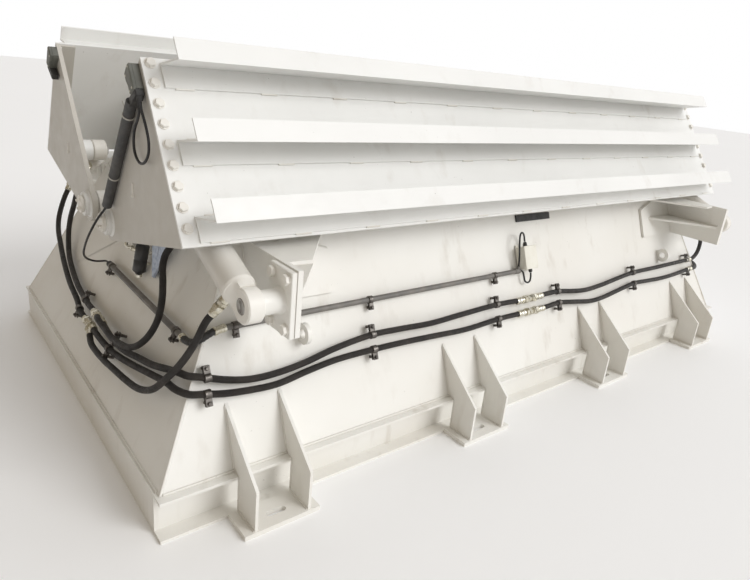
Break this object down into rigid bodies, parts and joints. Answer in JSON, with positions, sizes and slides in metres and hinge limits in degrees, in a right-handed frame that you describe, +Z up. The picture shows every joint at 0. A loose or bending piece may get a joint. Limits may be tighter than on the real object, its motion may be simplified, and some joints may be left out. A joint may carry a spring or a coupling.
{
  "type": "hydraulic clamshell discharge gate",
  "caption": "Tapered steel hopper on a channel base, closed by two hydraulic swing jaws with Z-section stiffeners, side cylinders, hoses and hold-down feet.",
  "frame": {"origin": "centre of the base's underside, on the floor", "axes": "+X along the gate towards its far end, +Y across it towards the left jaw, +Z up; the hoses meet at the -X end"},
  "size_m": [3.44, 2.092, 1.3696],
  "materials": {
    "base_paint": "satin warm white paint over hot-rolled channel and plate",
    "hopper_paint": "satin warm white paint, slightly uneven",
    "bracket_paint": "satin warm white paint",
    "jaw_paint": "satin white paint",
    "cylinder_paint": "satin warm white paint on a machined tube",
    "pin_steel": "satin paint with a bare turned pin",
    "rod_chrome": "hard-chromed, polished",
    "sensor_plastic": "black moulded plastic, matt",
    "hose_rubber": "black-brown rubber hose cover, matt",
    "cable_rubber": "black cable jacket",
    "conduit": "mid-grey corrugated conduit",
    "box_shell": "light grey moulded box"
  },
  "bodies": {
    "base": {"side_rail_right": "base_paint", "side_wall_right": "hopper_paint", "side_rail_left": "base_paint", "side_wall_left": "hopper_paint", "end_rail_near": "base_paint", "end_wall_near": "hopper_paint", "end_rail_far": "base_paint", "end_wall_far": "hopper_paint", "foot_right_1": "base_paint", "foot_right_2": "base_paint", "foot_right_3": "base_paint", "foot_right_4": "base_paint", "foot_left_1": "base_paint", "foot_left_2": "base_paint", "foot_left_3": "base_paint", "foot_left_4": "base_paint", "cylinder_bracket_right_near": "bracket_paint", "pin_flange_right_near": "pin_steel", "cylinder_bracket_right_far": "bracket_paint", "pin_flange_right_far": "pin_steel", "cylinder_bracket_left_near": "bracket_paint", "pin_flange_left_near": "pin_steel", "cylinder_bracket_left_far": "bracket_paint", "pin_flange_left_far": "pin_steel", "hydraulic_line_upper": "hose_rubber", "hydraulic_line_lower": "hose_rubber", "cable_conduit": "conduit", "junction_box": "box_shell", "hose_cap_right_near": "hose_rubber", "hose_rod_right_near": "hose_rubber", "hose_cap_left_near": "hose_rubber", "hose_rod_left_near": "hose_rubber", "hose_cap_right_far": "hose_rubber", "hose_rod_right_far": "hose_rubber", "sensor_cable": "cable_rubber", "box_loop_cable": "cable_rubber", "box_tail_cable": "cable_rubber"},
    "right_jaw": {"jaw_skin_right": "jaw_paint", "jaw_end_plate_right_near": "jaw_paint", "jaw_end_plate_right_far": "jaw_paint", "jaw_stiffener_right_1": "jaw_paint", "jaw_stiffener_right_2": "jaw_paint", "jaw_stiffener_right_3": "jaw_paint", "jaw_sensor_right": "sensor_plastic", "sensor_loop": "cable_rubber"},
    "right_near_barrel": {"cylinder_barrel_right_near": "cylinder_paint"},
    "right_near_rod": {"piston_rod_right_near": "rod_chrome"},
    "right_far_barrel": {"cylinder_barrel_right_far": "cylinder_paint"},
    "right_far_rod": {"piston_rod_right_far": "rod_chrome"},
    "left_jaw": {"jaw_skin_left": "jaw_paint", "jaw_end_plate_left_near": "jaw_paint", "jaw_end_plate_left_far": "jaw_paint", "jaw_stiffener_left_1": "jaw_paint", "jaw_stiffener_left_2": "jaw_paint", "jaw_stiffener_left_3": "jaw_paint", "jaw_sensor_left": "sensor_plastic"},
    "left_near_barrel": {"cylinder_barrel_left_near": "cylinder_paint"},
    "left_near_rod": {"piston_rod_left_near": "rod_chrome"},
    "left_far_barrel": {"cylinder_barrel_left_far": "cylinder_paint"},
    "left_far_rod": {"piston_rod_left_far": "rod_chrome"}
  },
  "joints": [
    {"name": "right_jaw_swing", "type": "hinge", "parent": "base", "child": "right_jaw", "pos_m": [0, -0.1385, 0.7387], "axis": [-1, 0, 0], "range_deg": [0, 44.27], "deforming": ["sensor_cable"]},
    {"name": "left_jaw_swing", "type": "hinge", "parent": "base", "child": "left_jaw", "pos_m": [0, 0.1385, 0.7387], "axis": [1, 0, 0], "range_deg": [0, 44.27]},
    {"name": "right_near_barrel_swing", "type": "hinge", "parent": "base", "child": "right_near_barrel", "pos_m": [-1.467, -0.933, 0.7], "axis": [1, 0, 0], "range_deg": [0, 8], "deforming": ["hose_cap_right_near", "hose_rod_right_near"]},
    {"name": "right_near_rod_slide", "type": "slide", "parent": "right_near_barrel", "child": "right_near_rod", "axis": [0, 0.9256, 0.3784], "range_m": [0, 0.2658]},
    {"name": "right_far_barrel_swing", "type": "hinge", "parent": "base", "child": "right_far_barrel", "pos_m": [1.467, -0.933, 0.7], "axis": [1, 0, 0], "range_deg": [0, 8], "deforming": ["hose_cap_right_far", "hose_rod_right_far"]},
    {"name": "right_far_rod_slide", "type": "slide", "parent": "right_far_barrel", "child": "right_far_rod", "axis": [0, 0.9256, 0.3784], "range_m": [0, 0.2658]},
    {"name": "left_near_barrel_swing", "type": "hinge", "parent": "base", "child": "left_near_barrel", "pos_m": [-1.467, 0.933, 0.7], "axis": [-1, 0, 0], "range_deg": [0, 8], "deforming": ["hose_cap_left_near", "hose_rod_left_near"]},
    {"name": "left_near_rod_slide", "type": "slide", "parent": "left_near_barrel", "child": "left_near_rod", "axis": [0, -0.9256, 0.3784], "range_m": [0, 0.2658]},
    {"name": "left_far_barrel_swing", "type": "hinge", "parent": "base", "child": "left_far_barrel", "pos_m": [1.467, 0.933, 0.7], "axis": [-1, 0, 0], "range_deg": [0, 8]},
    {"name": "left_far_rod_slide", "type": "slide", "parent": "left_far_barrel", "child": "left_far_rod", "axis": [0, -0.9256, 0.3784], "range_m": [0, 0.2658]}
  ],
  "couplings": [
    {"joint": "right_near_barrel_swing", "follows": "right_jaw_swing", "ratio": 0.18047},
    {"joint": "right_near_rod_slide", "follows": "right_jaw_swing", "m_per_rad": 0.34376},
    {"joint": "right_far_barrel_swing", "follows": "right_jaw_swing", "ratio": 0.18047},
    {"joint": "right_far_rod_slide", "follows": "right_jaw_swing", "m_per_rad": 0.34376},
    {"joint": "left_near_barrel_swing", "follows": "left_jaw_swing", "ratio": 0.18047},
    {"joint": "left_near_rod_slide", "follows": "left_jaw_swing", "m_per_rad": 0.34376},
    {"joint": "left_far_barrel_swing", "follows": "left_jaw_swing", "ratio": 0.18047},
    {"joint": "left_far_rod_slide", "follows": "left_jaw_swing", "m_per_rad": 0.34376}
  ]
}
